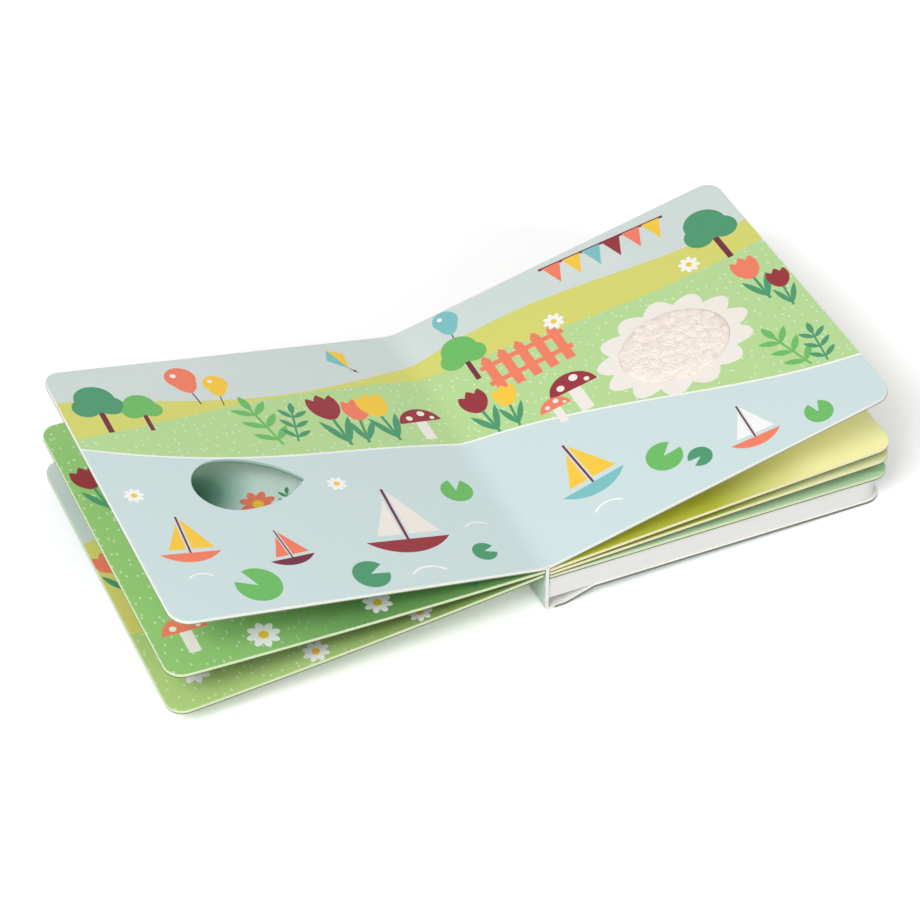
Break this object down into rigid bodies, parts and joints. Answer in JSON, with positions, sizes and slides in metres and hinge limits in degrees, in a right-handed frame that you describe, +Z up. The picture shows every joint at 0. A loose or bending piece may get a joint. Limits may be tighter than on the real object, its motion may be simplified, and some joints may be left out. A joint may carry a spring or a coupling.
{
  "type": "touch-and-feel sound book",
  "caption": "Board book lying open, leaves fanned over a thick block with a sound module, a die-cut window, a fleece touch patch, a hinged cover and press buttons under the pages.",
  "frame": {"origin": "on the flat foot of the spine card, halfway along the spine", "axes": "+X across the open book to the side with the sound block, +Y along the spine, +Z up"},
  "size_m": [0.3731, 0.182, 0.0699],
  "materials": {
    "printed_board": "matt film",
    "fleece": "boucle pile",
    "cover_board": "matt film",
    "cover_card": "matt film",
    "white_block": "closed-cell foam",
    "white_moulding": "satin",
    "button_moulding": "satin",
    "dark_moulding": "satin",
    "black_resin": "glossy",
    "clear_film": "glossy film",
    "circuit_board": "solder mask",
    "steel": "satin",
    "cone_paper": "matt",
    "wire": "matt"
  },
  "bodies": {
    "book": {"pages": "printed_board", "fleece_patch": "fleece", "spine_and_back_cover": "cover_card", "sound_block": "white_block", "module_tray": "white_moulding", "button_deck": "white_moulding", "battery_door": "white_moulding", "switch_body": "dark_moulding", "sound_chip": "black_resin", "dome_sheet": "clear_film", "circuit_board": "circuit_board", "speaker_frame": "steel", "speaker_magnet": "steel", "speaker_cone": "cone_paper", "speaker_leads": "wire", "door_contacts": "steel", "bay_contacts": "steel", "battery_door_screw": "steel", "deck_screws": "steel", "button_cell_1": "steel", "button_cell_2": "steel", "button_cell_3": "steel"},
    "front_cover": {"front_cover": "cover_board"},
    "switch_knob": {"switch_knob": "dark_moulding"},
    "press_button_1": {"press_button_1": "button_moulding"},
    "press_button_2": {"press_button_2": "button_moulding"},
    "press_button_3": {"press_button_3": "button_moulding"},
    "press_button_4": {"press_button_4": "button_moulding"},
    "press_button_5": {"press_button_5": "button_moulding"},
    "press_button_6": {"press_button_6": "button_moulding"}
  },
  "joints": [
    {"name": "front_cover_crease", "type": "hinge", "parent": "book", "child": "front_cover", "pos_m": [-0.0043, 0, 0.02321], "axis": [0, 1, 0], "range_deg": [-80, 6]},
    {"name": "press_button_1_press", "type": "slide", "parent": "book", "child": "press_button_1", "axis": [-0.0314, 0, -0.9995], "range_m": [0, 0.0005], "stiffness_N_per_m": 200},
    {"name": "press_button_2_press", "type": "slide", "parent": "book", "child": "press_button_2", "axis": [-0.0314, 0, -0.9995], "range_m": [0, 0.0005], "stiffness_N_per_m": 200},
    {"name": "press_button_3_press", "type": "slide", "parent": "book", "child": "press_button_3", "axis": [-0.0314, 0, -0.9995], "range_m": [0, 0.0005], "stiffness_N_per_m": 200},
    {"name": "press_button_4_press", "type": "slide", "parent": "book", "child": "press_button_4", "axis": [-0.0314, 0, -0.9995], "range_m": [0, 0.0005], "stiffness_N_per_m": 200},
    {"name": "press_button_5_press", "type": "slide", "parent": "book", "child": "press_button_5", "axis": [-0.0314, 0, -0.9995], "range_m": [0, 0.0005], "stiffness_N_per_m": 200},
    {"name": "press_button_6_press", "type": "slide", "parent": "book", "child": "press_button_6", "axis": [-0.0314, 0, -0.9995], "range_m": [0, 0.0005], "stiffness_N_per_m": 200},
    {"name": "switch_slide", "type": "slide", "parent": "book", "child": "switch_knob", "axis": [0, 1, 0], "range_m": [0, 0.002]}
  ]
}
